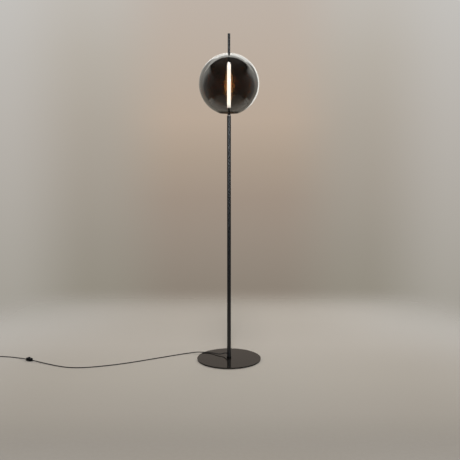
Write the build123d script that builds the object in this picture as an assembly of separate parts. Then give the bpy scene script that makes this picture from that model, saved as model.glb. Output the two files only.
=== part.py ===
from build123d import *
import math
import os

# Floor lamp with a smoked glass globe round an upright light tube.
# Millimetres, +Z up.  The origin is the centre of the underside of the base,
# on the floor.  The lamp is seen from -Y, and +X is then to the right.

# --- Clearances ----------------------------------------------------------
fit_gap = 0.05          # round a fixed piece that sits in another
seat_gap = 0.1          # between a soft piece and what it grips
lead_gap = 0.6          # round a lead in a bore that was drilled for it
slide_gap = 0.3         # round the switch button
match_tolerance = 0.01  # for finding an edge by its height and radius

# --- Base ----------------------------------------------------------------
plate_diameter = 330.0
plate_thickness = 6.0
plate_edge_radius = 0.8
pad_thickness = 1.5
pad_inset = 6.0
pad_hole_diameter = 30.0
screw_diameter = 8.0
screw_length = 20.0
screw_head_diameter = 15.8
screw_head_height = 4.2
hex_socket_width = 5.0
hex_socket_depth = 3.0

# --- Pole ----------------------------------------------------------------
pole_diameter = 20.0
pole_wall = 1.5
section_length = 411.5
section_count = 3
section_edge_chamfer = 0.3
collar_diameter = 23.6
collar_height = 7.0
collar_chamfer = 0.6
foot_spigot_length = 40.0
coupler_length = 20.0
coupler_thread_diameter = 14.0
coupler_thread_length = 14.0
coupler_bore = 9.0
socket_length = 20.0

# --- Where the lead leaves the pole --------------------------------------
outlet_height = 21.0            # above the plate, at the pole's surface
outlet_azimuth = 120.0          # degrees from +X towards +Y
outlet_tilt = 12.0              # degrees below level
lead_bend_radius = 6.0
relief_length = 22.0
relief_flange_diameter = 10.4
relief_flange_thickness = 1.5
relief_root_diameter = 8.4
relief_tip_diameter = 5.8
relief_stem_diameter = 7.4
relief_stem_depth = 4.2         # inwards from the pole's surface
relief_stem_overlap = 1.0       # of the stem in the sleeve outside the pole
relief_groove_count = 4
relief_groove_depth = 0.5
groove_share = 0.4              # of the pitch of a sleeve's grooves

# --- Lamp tube, driver and wires -----------------------------------------
core_diameter = 10.0
core_bore = 7.0
core_engagement = 16.0          # in the threaded insert of the pole
top_insert_length = 22.0
spacer_height = 4.5
spacer_edge_radius = 0.6
lock_nut_diameter = 15.0
lock_nut_height = 8.0
nut_chamfer = 0.5
lower_neck_length = 36.0        # bare neck, from the spacer to the light tube
upper_neck_length = 52.0        # bare neck, from the light tube to the rod
driver_length = 110.0
driver_drop = 60.0              # from the pole's top to the board's top
driver_board_thickness = 1.6
driver_sleeve_wall = 0.6
# Parts on the driver board, each as shares of the sleeve's bore and of the board's length
transformer_width, transformer_depth, transformer_length, transformer_place = 0.55, 0.3, 0.16, 0.45
chip_width, chip_depth, chip_length, chip_place = 0.35, 0.12, 0.08, 0.7
capacitor_width, capacitor_length, capacitor_place = 0.32, 0.15, 0.2
capacitor_lie = 0.45            # of its diameter, from its middle to the board
wire_diameter = 1.4
wire_spacing = 2.0
wire_bend_radius = 2.0

# --- Light tube ----------------------------------------------------------
light_tube_diameter = 18.5
light_tube_wall = 1.5
light_tube_length = 215.0
cap_flange_thickness = 1.2
cap_plug_length = 5.0
heat_bar_width = 11.0           # across the flats
heat_bar_end_gap = 9.0          # room for the wires under the bar
strip_width = 4.0
strip_thickness = 0.4
strip_count = 3
diode_pitch = 10.0
diode_width = 2.4
diode_height = 0.7

# --- Globe and the rod above it ------------------------------------------
globe_diameter = 300.0
globe_wall = 3.0
globe_top_hole_diameter = 37.0
globe_mouth_diameter = 90.0
globe_lip_radius = 1.0
washer_flange_diameter = 46.0
washer_flange_thickness = 3.0
washer_boss_diameter = 18.0
washer_boss_length = 10.0
washer_rise = 5.7               # from the globe's seat to the rod's foot
washer_rim_rise = 4.2           # from the globe's seat to the washer's shoulder
washer_top_margin = 0.5         # of the washer's top round the rod's foot
hanger_nut_diameter = 15.0
hanger_nut_height = 7.0
rod_diameter = 13.0
rod_length = 93.5
rod_bore_depth = 24.0
core_end_play = 2.0             # between the lamp tube's end and the rod's bore
rod_edge_radius = 0.8

# --- Mains lead ----------------------------------------------------------
cord_diameter = 4.5
plate_lie = 0.15                # the lead lies this far off the plate
bend_share = 0.45               # of the shorter run, taken by the arc at a corner of the route
outlet_run = 10.0               # straight run out of the sleeve
switch_run = 19.0               # straight run at each end of the switch
coil_run = 36.0                 # straight run into the coil

# --- In-line switch ------------------------------------------------------
switch_x = -1031.0
switch_y = -27.0
switch_azimuth = 151.4
switch_length = 40.0
switch_width = 20.0
switch_base_height = 5.2
switch_cover_height = 9.8
switch_wall = 1.6
switch_top_radius = 4.2
switch_bottom_radius = 1.2
button_diameter = 10.8
button_rise = 4.5
button_travel = 1.5
button_edge_radius = 1.6
button_flange_diameter = 13.0
button_flange_thickness = 1.2
boss_diameter = 4.6
boss_along = 10.5
boss_across = 5.0
tiny_screw_diameter = 2.2
tiny_screw_length = 8.0
tiny_screw_head_diameter = 4.0
tiny_screw_head_height = 1.4
tiny_screw_end_room = 0.4
contact_block_width = 7.0
contact_block_height = 1.5
plunger_diameter = 2.6
board_length = 15.0
board_width = 9.0
board_thickness = 1.2
terminal_length = 3.0
terminal_width = 5.4
spring_wire_diameter = 0.5
spring_diameter = 5.6
spring_turns = 3
bushing_outer_length = 6.0
bushing_inner_length = 3.4
bushing_root_diameter = 7.0
bushing_tip_diameter = 5.6
core_wire_diameter = 1.2
core_wire_spacing = 1.8

# --- Coil of the spare lead ----------------------------------------------
coil_x = -1240.0
coil_y = 6.6
coil_azimuth = 85.0             # of the line that the half turns end on
coil_inner_radius = 19.5
coil_pitch = 5.0                # from turn to turn and from layer to layer
coil_inward_half_turns = 6
coil_end_run = 20.0

# --- Plug ----------------------------------------------------------------
plug_relief_length = 30.0
plug_relief_root_diameter = 8.4
plug_relief_tip_diameter = 5.6
plug_relief_groove_count = 5
plug_relief_groove_depth = 0.5
plug_length = 34.0
plug_width = 35.0
plug_rear_width = 15.0
plug_shoulder = 17.0            # from the rear face to the full width
plug_thickness = 14.0
plug_edge_radius = 2.4
plug_rim_radius = 1.9
pin_diameter = 4.0
pin_length = 19.0
pin_tip_length = 9.0
pin_tip_radius = 1.2
pin_neck_diameter = 3.0
pin_root_length = 8.0
pin_spacing = 18.6
pin_sleeve_diameter = 3.6

# --- Heights that follow -------------------------------------------------
pole_radius = pole_diameter / 2
pole_inner_radius = pole_radius - pole_wall
plate_top = pad_thickness + plate_thickness
collar_top = plate_top + collar_height
pole_top = collar_top + section_count * section_length
spacer_top = pole_top + spacer_height
light_bottom = spacer_top + lower_neck_length
light_top = light_bottom + light_tube_length
rod_bottom = light_top + upper_neck_length
rod_top = rod_bottom + rod_length
globe_seat = rod_bottom - washer_rise
core_top = rod_bottom + rod_bore_depth - core_end_play
driver_top = pole_top - driver_drop
driver_bottom = driver_top - driver_length
globe_inner_radius = globe_diameter / 2 - globe_wall
globe_centre = globe_seat - math.sqrt(globe_inner_radius ** 2 - (globe_top_hole_diameter / 2) ** 2)
heat_bar_bottom = light_bottom + cap_plug_length + heat_bar_end_gap
heat_bar_top = light_top - cap_plug_length - fit_gap
wire_turn_height = light_bottom + cap_plug_length + wire_diameter / 2 + seat_gap
cord_radius = cord_diameter / 2

# Directions of the outlet and of the lead in the switch
outlet_direction = Vector(
    math.cos(math.radians(outlet_tilt)) * math.cos(math.radians(outlet_azimuth)),
    math.cos(math.radians(outlet_tilt)) * math.sin(math.radians(outlet_azimuth)),
    -math.sin(math.radians(outlet_tilt)),
)
outlet_on_axis = Vector(
    0, 0, plate_top + outlet_height + pole_radius * math.tan(math.radians(outlet_tilt))
)
wall_distance = pole_radius / math.cos(math.radians(outlet_tilt))
relief_tip_distance = wall_distance + relief_length

UP = (Align.CENTER, Align.CENTER, Align.MIN)


# --- Small helpers -------------------------------------------------------
def rod(diameter, length, bottom=0.0):
    """Upright round bar."""
    return Pos(0, 0, bottom) * Cylinder(diameter / 2, length, align=UP)


def tube(outer, inner, length, bottom=0.0):
    """Upright round tube."""
    return rod(outer, length, bottom) - rod(inner, length, bottom)


def along(start, direction):
    """Frame whose Z runs from start along direction."""
    return Plane(origin=start, z_dir=direction).location


def outlet_frame(distance):
    """Frame on the outlet's axis, this far from the pole's axis."""
    return along(outlet_on_axis + outlet_direction * distance, outlet_direction)


def ring_edges(shape, height, radius):
    """Circular edges of shape at this height and radius."""
    found = shape.edges().filter_by(GeomType.CIRCLE)
    return [e for e in found
            if abs(e.arc_center.Z - height) < match_tolerance
            and abs(e.radius - radius) < match_tolerance]


def swept_tube(path, diameter):
    """Round tube along a path."""
    section = Plane(origin=path @ 0, z_dir=path % 0) * Circle(diameter / 2)
    return sweep(section, path=path)


def corner_radii(points):
    """Radius of the arc at each inner point of a route."""
    radii = []
    for before, point, after in zip(points, points[1:], points[2:]):
        turn = (point - before).get_angle(after - point)
        shorter = min((point - before).length, (after - point).length)
        radii.append(bend_share * shorter / math.tan(math.radians(turn / 2)))
    return radii


def cord_tube(name, points):
    """Tube of the lead along a route, with its radii and volume printed."""
    points = [Vector(*p) for p in points]
    radii = corner_radii(points)
    path = FilletPolyline(*points, radius=radii)
    solid = swept_tube(path, cord_diameter)
    section = math.pi * cord_radius ** 2
    print(f"{name}: length {path.length:.0f}, radii {[round(r) for r in radii]}")
    print(f"{name}: volume {solid.volume:.0f}, section times length {section * path.length:.0f}")
    return solid


def tapered_relief(frame, length, root, tip, bore, grooves, depth):
    """Tapered sleeve along a frame's Z, with ring grooves."""
    sleeve = Cone(root / 2, tip / 2, length, align=UP)
    step = length / (grooves + 2)
    for number in range(grooves):
        height = step * (number + 1)
        radius = root / 2 + (tip - root) / 2 * height / length
        groove = tube(2 * root, 2 * (radius - depth), step * groove_share, height)
        sleeve -= groove
    if bore > 0:
        sleeve -= rod(bore, length)
    return frame * sleeve


# --- Base ----------------------------------------------------------------
def base_pad():
    return tube(plate_diameter - 2 * pad_inset, pad_hole_diameter, pad_thickness)


def screw_shape(diameter, head, head_height, length):
    """Countersunk screw that points up, its head's face at height 0."""
    cone = Cone(head / 2, diameter / 2, head_height, align=UP)
    return cone + rod(diameter, length)


def base_screw():
    screw = screw_shape(screw_diameter, screw_head_diameter, screw_head_height, screw_length)
    key = extrude(RegularPolygon(hex_socket_width / 2, 6, major_radius=False), hex_socket_depth)
    return Pos(0, 0, pad_thickness) * (screw - key)


def base_plate():
    plate = rod(plate_diameter, plate_thickness, pad_thickness)
    plate = fillet(ring_edges(plate, plate_top, plate_diameter / 2), plate_edge_radius)
    hole = screw_shape(
        screw_diameter + 2 * fit_gap, screw_head_diameter + 2 * fit_gap,
        screw_head_height, plate_thickness)
    return plate - Pos(0, 0, pad_thickness) * hole


# --- Pole ----------------------------------------------------------------
def lead_path():
    """Line of the lead inside the pole, out to the relief's tip."""
    start = Vector(0, 0, driver_bottom)
    end = outlet_on_axis + outlet_direction * relief_tip_distance
    return FilletPolyline(start, outlet_on_axis, end, radius=[lead_bend_radius])


def pole_foot():
    collar = rod(collar_diameter, collar_height, plate_top)
    collar = chamfer(ring_edges(collar, collar_top, collar_diameter / 2), collar_chamfer)
    spigot = rod(2 * (pole_inner_radius - fit_gap), foot_spigot_length, collar_top)
    thread = rod(screw_diameter + 2 * fit_gap, screw_length, pad_thickness)
    channel = swept_tube(lead_path(), cord_diameter + 2 * lead_gap)
    stem_hole = outlet_frame(wall_distance - relief_stem_depth) * rod(
        relief_stem_diameter + 2 * fit_gap, relief_stem_depth)
    return collar + spigot - thread - channel - stem_hole


def pole_section(number):
    """One of the pole's equal tubes, counted from the floor."""
    bottom = collar_top + number * section_length
    section = tube(pole_diameter, 2 * pole_inner_radius, section_length, bottom)
    rims = ring_edges(section, bottom, pole_radius)
    rims += ring_edges(section, bottom + section_length, pole_radius)
    section = chamfer(rims, section_edge_chamfer)
    if number == 0:
        section -= outlet_frame(0) * rod(relief_stem_diameter + 2 * fit_gap, 2 * pole_diameter)
    return section


def joint_heights():
    return [collar_top + number * section_length for number in range(1, section_count)]


def pole_couplers():
    """Threaded studs pressed into the upper ends of the lower tubes."""
    pieces = []
    for height in joint_heights():
        body = rod(2 * (pole_inner_radius - fit_gap), coupler_length, height - coupler_length)
        stud = rod(coupler_thread_diameter, coupler_thread_length, height)
        bore = rod(coupler_bore, coupler_length + coupler_thread_length, height - coupler_length)
        pieces.append(body + stud - bore)
    return pieces


def pole_sockets():
    """Threaded sockets pressed into the lower ends of the upper tubes."""
    pieces = []
    for height in joint_heights():
        pieces.append(tube(
            2 * (pole_inner_radius - fit_gap), coupler_thread_diameter + 2 * fit_gap,
            socket_length, height))
    return pieces


def top_insert():
    bottom = pole_top - top_insert_length
    insert = rod(2 * (pole_inner_radius - fit_gap), top_insert_length, bottom)
    insert -= rod(core_bore, top_insert_length, bottom)
    thread = rod(core_diameter + 2 * fit_gap, core_engagement, pole_top - core_engagement)
    return insert - thread


# --- Outlet of the lead --------------------------------------------------
def outlet_relief():
    inner_end = wall_distance - relief_stem_depth
    stem = outlet_frame(inner_end) * rod(
        relief_stem_diameter, relief_stem_depth + relief_stem_overlap)
    saddle = rod(pole_diameter + 2 * relief_flange_thickness, 2 * relief_flange_diameter,
                 plate_top + outlet_height - relief_flange_diameter)
    saddle &= outlet_frame(0) * rod(relief_flange_diameter, 2 * pole_diameter)
    pole_room = rod(pole_diameter + 2 * fit_gap, 4 * relief_flange_diameter,
                    plate_top + outlet_height - 2 * relief_flange_diameter)
    taper = tapered_relief(
        outlet_frame(wall_distance), relief_length, relief_root_diameter,
        relief_tip_diameter, 0, relief_groove_count, relief_groove_depth)
    bore = outlet_frame(0) * rod(cord_diameter + 2 * fit_gap, relief_tip_distance)
    return stem + (saddle - pole_room) + (taper - pole_room) - bore


def feed_lead():
    return swept_tube(lead_path(), cord_diameter)


# --- Driver and wires ----------------------------------------------------
def driver_sleeve():
    outer = 2 * (pole_inner_radius - seat_gap)
    return tube(outer, outer - 2 * driver_sleeve_wall, driver_length, driver_bottom)


def driver_board():
    inner = 2 * (pole_inner_radius - seat_gap - driver_sleeve_wall)
    half_thickness = driver_board_thickness / 2
    width = math.sqrt(inner ** 2 - driver_board_thickness ** 2) - 2 * fit_gap
    board = Pos(0, 0, driver_bottom) * Box(
        width, driver_board_thickness, driver_length, align=UP)
    transformer = Pos(
        0, -half_thickness, driver_bottom + driver_length * transformer_place) * Box(
        inner * transformer_width, inner * transformer_depth, driver_length * transformer_length,
        align=(Align.CENTER, Align.MAX, Align.MIN))
    chip = Pos(0, half_thickness, driver_bottom + driver_length * chip_place) * Box(
        inner * chip_width, inner * chip_depth, driver_length * chip_length,
        align=(Align.CENTER, Align.MIN, Align.MIN))
    capacitor_diameter = inner * capacitor_width
    capacitor = Pos(
        0, -half_thickness - capacitor_diameter * capacitor_lie,
        driver_bottom + driver_length * capacitor_place) * Cylinder(
        capacitor_diameter / 2, driver_length * capacitor_length, align=UP)
    return board + transformer + chip + capacitor


def output_wires():
    """Pair of wires from the driver, up the lamp tube and out to the strips."""
    pieces = []
    strip_end = heat_bar_bottom - fit_gap
    outside = heat_bar_width / 2 + strip_thickness / 2
    for side in (-1, 1):
        y = side * wire_spacing / 2
        path = FilletPolyline(
            (0, y, driver_top), (0, y, wire_turn_height), (outside, y, wire_turn_height),
            (outside, y, strip_end), radius=[wire_bend_radius, wire_bend_radius])
        pieces.append(swept_tube(path, wire_diameter))
    return pieces


def core_tube():
    """Hollow threaded tube that carries the light and the globe."""
    bottom = pole_top - core_engagement
    body = tube(core_diameter, core_bore, core_top - bottom, bottom)
    slot = Pos(0, 0, wire_turn_height - wire_diameter / 2 - seat_gap) * Box(
        core_diameter, wire_spacing + wire_diameter + 2 * seat_gap,
        wire_diameter + wire_bend_radius + 2 * seat_gap,
        align=(Align.MIN, Align.CENTER, Align.MIN))
    return body - slot


def spacer_ring():
    ring = tube(pole_diameter, core_diameter + 2 * fit_gap, spacer_height, pole_top)
    return fillet(ring_edges(ring, spacer_top, pole_radius), spacer_edge_radius)


def round_nut(diameter, height, bottom):
    """Plain round nut on the lamp tube."""
    nut = tube(diameter, core_diameter + 2 * fit_gap, height, bottom)
    rims = ring_edges(nut, bottom, diameter / 2) + ring_edges(nut, bottom + height, diameter / 2)
    return chamfer(rims, nut_chamfer)


# --- Light tube ----------------------------------------------------------
def light_tube():
    return tube(light_tube_diameter, light_tube_diameter - 2 * light_tube_wall,
                light_tube_length, light_bottom)


def tube_cap():
    """End cap, its flange below height 0 and its plug above."""
    flange = rod(light_tube_diameter, cap_flange_thickness, -cap_flange_thickness)
    plug_diameter = light_tube_diameter - 2 * light_tube_wall - 2 * fit_gap
    cap = flange + rod(plug_diameter, cap_plug_length)
    return cap - rod(core_diameter + 2 * fit_gap, cap_flange_thickness + cap_plug_length,
                     -cap_flange_thickness)


def tube_lower_cap():
    return Pos(0, 0, light_bottom) * tube_cap()


def tube_upper_cap():
    return Pos(0, 0, light_top) * Rot(180, 0, 0) * tube_cap()


def heat_bar():
    """Hexagonal aluminium sleeve that the strips are stuck to."""
    hexagon = RegularPolygon(heat_bar_width / 2, 6, major_radius=False, rotation=30)
    bar = extrude(hexagon - Circle(core_diameter / 2 + fit_gap), heat_bar_top - heat_bar_bottom)
    return Pos(0, 0, heat_bar_bottom) * bar


def light_strips():
    """Flat strips with their diodes on every other face of the bar."""
    pieces = []
    length = heat_bar_top - heat_bar_bottom
    face = heat_bar_width / 2
    for number in range(strip_count):
        strip = Pos(face, 0, heat_bar_bottom) * Box(
            strip_thickness, strip_width, length, align=(Align.MIN, Align.CENTER, Align.MIN))
        diode_count = int(length // diode_pitch)
        first = heat_bar_bottom + (length - (diode_count - 1) * diode_pitch) / 2
        for diode in range(diode_count):
            strip += Pos(face + strip_thickness, 0, first + diode * diode_pitch) * Box(
                diode_height, diode_width, diode_width,
                align=(Align.MIN, Align.CENTER, Align.CENTER))
        pieces.append(Rot(0, 0, number * 360 / strip_count) * strip)
    return pieces


# --- Globe and rod -------------------------------------------------------
def glass_globe():
    shell = Sphere(globe_diameter / 2) - Sphere(globe_inner_radius)
    shell -= rod(globe_top_hole_diameter, globe_diameter)
    shell -= rod(globe_mouth_diameter, globe_diameter, -globe_diameter)
    lips = [e for e in shell.edges().filter_by(GeomType.CIRCLE)
            if e.radius < globe_mouth_diameter / 2 + match_tolerance]
    shell = fillet(lips, globe_lip_radius)
    return Pos(0, 0, globe_centre) * shell


def globe_washer():
    """Clear stepped washer: the globe hangs on its flange, the rod clamps its top."""
    hole_radius = globe_top_hole_diameter / 2 - seat_gap
    flange = rod(washer_flange_diameter, washer_flange_thickness,
                 globe_seat - washer_flange_thickness - fit_gap)
    flange &= Pos(0, 0, globe_centre) * Sphere(globe_inner_radius - fit_gap)
    neck = rod(2 * hole_radius, washer_rim_rise + fit_gap, globe_seat - fit_gap)
    cone_height = washer_rise - washer_rim_rise
    cone = Pos(0, 0, globe_seat + washer_rim_rise) * Cone(
        hole_radius, rod_diameter / 2 + washer_top_margin, cone_height, align=UP)
    boss_bottom = globe_seat - fit_gap - washer_flange_thickness - washer_boss_length
    boss = rod(washer_boss_diameter, washer_boss_length, boss_bottom)
    bore = rod(core_diameter + 2 * fit_gap, rod_bottom - boss_bottom, boss_bottom)
    return flange + neck + cone + boss - bore


def finial_rod():
    bar = rod(rod_diameter, rod_length, rod_bottom)
    bar = fillet(ring_edges(bar, rod_top, rod_diameter / 2), rod_edge_radius)
    return bar - rod(core_diameter + 2 * fit_gap, rod_bore_depth, rod_bottom)


def hanger_nut():
    boss_bottom = globe_seat - fit_gap - washer_flange_thickness - washer_boss_length
    return round_nut(hanger_nut_diameter, hanger_nut_height, boss_bottom - hanger_nut_height)


# --- In-line switch, along +X about its own centre on the floor ----------
switch_frame = Pos(switch_x, switch_y, 0) * Rot(0, 0, switch_azimuth)
switch_direction = Vector(math.cos(math.radians(switch_azimuth)),
                          math.sin(math.radians(switch_azimuth)), 0)
bushing_tip = switch_length / 2 + bushing_outer_length
cover_top = switch_base_height + switch_cover_height
cover_inner_top = cover_top - switch_wall
flange_top = cover_inner_top - slide_gap
flange_bottom = flange_top - button_flange_thickness
board_top = switch_wall + board_thickness
block_top = board_top + contact_block_height


def slot_bar(length, width, height, bottom):
    return Pos(0, 0, bottom) * extrude(SlotOverall(length, width), height)


def bushing_holes():
    """Room for the two bushings, half in each shell."""
    return Pos(0, 0, switch_base_height) * Rot(0, 90, 0) * Cylinder(
        bushing_root_diameter / 2 + fit_gap, 2 * switch_length)


def boss_places():
    return [Pos(boss_along, -boss_across, 0), Pos(-boss_along, boss_across, 0)]


def switch_base():
    shell = slot_bar(switch_length, switch_width, switch_base_height, 0)
    shell = fillet(shell.faces().sort_by(Axis.Z)[0].edges(), switch_bottom_radius)
    shell -= slot_bar(switch_length - 2 * switch_wall, switch_width - 2 * switch_wall,
                      switch_base_height, switch_wall)
    for place in boss_places():
        shell += place * rod(boss_diameter, switch_base_height - switch_wall, switch_wall)
    for place in boss_places():
        shell -= place * screw_shape(
            tiny_screw_diameter + 2 * fit_gap, tiny_screw_head_diameter + 2 * fit_gap,
            tiny_screw_head_height, switch_base_height)
    return switch_frame * (shell - bushing_holes())


def switch_cover():
    shell = slot_bar(switch_length, switch_width, switch_cover_height, switch_base_height)
    shell = fillet(shell.faces().sort_by(Axis.Z)[-1].edges(), switch_top_radius)
    inside = slot_bar(switch_length - 2 * switch_wall, switch_width - 2 * switch_wall,
                      cover_inner_top - switch_base_height, switch_base_height)
    inside = fillet(inside.faces().sort_by(Axis.Z)[-1].edges(), switch_top_radius - switch_wall)
    shell -= inside
    boss_height = cover_inner_top - switch_base_height
    for place in boss_places():
        shell += place * rod(boss_diameter, boss_height, switch_base_height)
    for place in boss_places():
        shell -= place * rod(
            tiny_screw_diameter + 2 * fit_gap,
            tiny_screw_length - switch_base_height + tiny_screw_end_room, switch_base_height)
    shell -= rod(button_diameter + 2 * slide_gap, 3 * switch_wall, cover_inner_top - switch_wall)
    return switch_frame * (shell - bushing_holes())


def switch_button():
    cap = rod(button_diameter, cover_top + button_rise - flange_bottom, flange_bottom)
    cap = fillet(ring_edges(cap, cover_top + button_rise, button_diameter / 2),
                 button_edge_radius)
    flange = rod(button_flange_diameter, button_flange_thickness, flange_bottom)
    return switch_frame * (cap + flange)


def switch_board():
    """Board with the push contact, its plunger and the end terminals."""
    board = Pos(0, 0, switch_wall) * Box(board_length, board_width, board_thickness, align=UP)
    block = Pos(0, 0, board_top) * Box(
        contact_block_width, contact_block_width, contact_block_height, align=UP)
    plunger_top = flange_bottom - button_travel - slide_gap
    plunger = rod(plunger_diameter, plunger_top - block_top, block_top)
    piece = board + block + plunger
    terminal_top = switch_base_height + core_wire_diameter
    for side in (-1, 1):
        centre = side * (board_length - terminal_length) / 2
        piece += Pos(centre, 0, board_top) * Box(
            terminal_length, terminal_width, terminal_top - board_top, align=UP)
    return switch_frame * piece


def half_turn(start, end, side):
    """Half circle from start to end that leaves start along side."""
    middle = (start + end) * 0.5 + side * ((end - start).length / 2)
    return ThreePointArc(start, middle, end)


def switch_spring():
    """Round wire spring between the contact block and the button."""
    height = flange_bottom - block_top - spring_wire_diameter - 2 * fit_gap
    climb = height / (2 * spring_turns)
    radius = (spring_diameter - spring_wire_diameter) / 2
    level = block_top + spring_wire_diameter / 2 + fit_gap
    arcs = []
    for number in range(2 * spring_turns):
        sign = 1 if number % 2 == 0 else -1
        start = Vector(sign * radius, 0, level + number * climb)
        end = Vector(-sign * radius, 0, level + (number + 1) * climb)
        arcs.append(half_turn(start, end, Vector(0, sign, 0)))
    return switch_frame * swept_tube(Wire(arcs), spring_wire_diameter)


def switch_screws():
    pieces = []
    for place in boss_places():
        pieces.append(switch_frame * place * screw_shape(
            tiny_screw_diameter, tiny_screw_head_diameter,
            tiny_screw_head_height, tiny_screw_length))
    return pieces


def switch_bushings():
    """Rubber bushings moulded on the lead where it enters the switch."""
    pieces = []
    for turn in (0, 180):
        end_frame = Rot(0, 0, turn) * Pos(switch_length / 2, 0, switch_base_height) * Rot(0, 90, 0)
        inner = rod(bushing_root_diameter, bushing_inner_length, -bushing_inner_length)
        outer = Cone(bushing_root_diameter / 2, bushing_tip_diameter / 2,
                     bushing_outer_length, align=UP)
        pieces.append(switch_frame * end_frame * (inner + outer))
    return pieces


def switch_cores():
    """Insulated cores from the bushings to the terminals, two at each end."""
    pieces = []
    inner_face = switch_length / 2 - bushing_inner_length
    length = inner_face - board_length / 2
    for turn in (0, 180):
        for side in (-1, 1):
            place = Rot(0, 0, turn) * Pos(
                board_length / 2, side * core_wire_spacing / 2, switch_base_height)
            pieces.append(switch_frame * place * Rot(0, 90, 0) * rod(core_wire_diameter, length))
    return pieces


# --- Lead on the floor ---------------------------------------------------
def lamp_side_points():
    """Route from the relief's tip, over the plate and the floor, to the switch."""
    start = outlet_on_axis + outlet_direction * relief_tip_distance
    centre = Vector(switch_x, switch_y, switch_base_height)
    end = centre - switch_direction * bushing_tip
    on_plate = plate_top + cord_radius + plate_lie
    floor = cord_radius
    return [
        start,
        start + outlet_direction * outlet_run,
        (-31.5, 42, on_plate + 7.0),
        (-47.5, 40.5, on_plate + 3.4),
        (-66, 51, on_plate + 2.9),
        (-86, 71, on_plate + 1.2),
        (-114, 81.5, on_plate),
        (-143, 85, on_plate + 0.7),
        (-173, 90.5, on_plate - 0.6),
        (-204, 95, floor + 1.8),
        (-244, 81.5, floor),
        (-293, 54.5, floor),
        (-343, 26, floor),
        (-394, -2.5, floor),
        (-446, -33, floor),
        (-499, -62, floor),
        (-552, -87.5, floor),
        (-607, -110.5, floor),
        (-663, -129.5, floor),
        (-719, -142.5, floor),
        (-773, -146, floor),
        (-826, -134.5, floor),
        (-876, -110.5, floor),
        (-921, -85.5, floor),
        (-959, -65, floor + 1),
        end - switch_direction * switch_run,
        end,
    ]


def plug_side_points():
    """Route from the switch to the coil."""
    centre = Vector(switch_x, switch_y, switch_base_height)
    start = centre + switch_direction * bushing_tip
    floor = cord_radius
    end = coil_place(Vector(coil_outer_radius, -cord_diameter, floor))
    heading = (coil_place(Vector(coil_outer_radius, 0, floor)) - end).normalized()
    return [
        start,
        start + switch_direction * switch_run,
        (-1098, 11, floor),
        (-1143, 28, floor),
        end - heading * coil_run,
        end,
    ]


# --- Coil of the spare lead ----------------------------------------------
coil_outer_radius = coil_inner_radius + coil_inward_half_turns * coil_pitch / 2
coil_upper = cord_radius + coil_pitch
coil_frame = Pos(coil_x, coil_y, 0) * Rot(0, 0, coil_azimuth)


def coil_place(point):
    """Point in the coil's own frame, moved to its place."""
    return (coil_frame * Pos(*point)).position


def coil_path():
    """In along the floor, up a layer in the half turn at the middle, and out again."""
    straight_start = Vector(coil_outer_radius, -cord_diameter, cord_radius)
    point = Vector(coil_outer_radius, 0, cord_radius)
    pieces = [Line(coil_place(straight_start), coil_place(point))]
    half_turns = 2 * coil_inward_half_turns
    for number in range(half_turns):
        side = 1 if number % 2 == 0 else -1
        steps_from_middle = abs(number - coil_inward_half_turns)
        radius = coil_inner_radius + steps_from_middle * coil_pitch / 2
        height = cord_radius if number < coil_inward_half_turns else coil_upper
        end = Vector(point.X - side * 2 * radius, 0, height)
        middle = (point + end) * 0.5 + Vector(0, side, 0) * ((end - point).length / 2)
        pieces.append(ThreePointArc(coil_place(point), coil_place(middle), coil_place(end)))
        point = end
    last = point + Vector(0, coil_end_run, 0)
    pieces.append(Line(coil_place(point), coil_place(last)))
    return Wire(pieces)


def least_gap(path, diameter, samples=1200):
    """Least gap of a wound tube to itself, on points along its middle line."""
    points = [path @ (number / samples) for number in range(samples + 1)]
    step = path.length / samples
    apart = int(math.pi * coil_inner_radius / step)
    nearest = min(
        (first - second).length
        for place, first in enumerate(points)
        for second in points[place + apart:])
    return nearest - diameter


def cord_coil():
    path = coil_path()
    solid = swept_tube(path, cord_diameter)
    section = math.pi * cord_radius ** 2
    print(f"cord_coil: length {path.length:.0f}, turns {coil_inward_half_turns}")
    print(f"cord_coil: volume {solid.volume:.0f}, section times length {section * path.length:.0f}")
    print(f"cord_coil: least gap to itself {least_gap(path, cord_diameter):.2f}")
    return solid


# --- Plug, along +X of its own frame, from the relief's tip --------------
def plug_frame():
    """Frame at the coil's upper end, on the floor, with X along the lead."""
    tip = coil_place(Vector(coil_outer_radius, coil_end_run, 0))
    return Pos(tip.X, tip.Y, 0) * Rot(0, 0, coil_azimuth + 90)


def plug_relief():
    frame = plug_frame() * Pos(plug_relief_length, 0, coil_upper) * Rot(0, -90, 0)
    return tapered_relief(frame, plug_relief_length, plug_relief_root_diameter,
                          plug_relief_tip_diameter, 0, plug_relief_groove_count,
                          plug_relief_groove_depth)


def plug_body():
    half_rear = plug_rear_width / 2
    half_front = plug_width / 2
    outline = Polyline(
        (0, -half_rear), (plug_shoulder, -half_front), (plug_length, -half_front),
        (plug_length, half_front), (plug_shoulder, half_front), (0, half_rear), close=True)
    body = extrude(make_face(outline), plug_thickness)
    upright = body.edges().filter_by(Axis.Z)
    body = fillet(upright, plug_edge_radius)
    body = fillet(body.faces().sort_by(Axis.Z)[-1].edges(), plug_rim_radius)
    body = fillet(body.faces().sort_by(Axis.Z)[0].edges(), plug_rim_radius)
    for side in (-1, 1):
        body -= Pos(plug_length - pin_root_length, side * pin_spacing / 2, plug_thickness / 2) \
            * Rot(0, 90, 0) * rod(pin_neck_diameter + 2 * fit_gap, pin_root_length)
    return plug_frame() * Pos(plug_relief_length, 0, 0) * body


def pin_places():
    """Frames on the plug's front face, with Z along each pin."""
    front = plug_frame() * Pos(plug_relief_length + plug_length, 0, plug_thickness / 2)
    return [front * Pos(0, side * pin_spacing / 2, 0) * Rot(0, 90, 0) for side in (-1, 1)]


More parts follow.
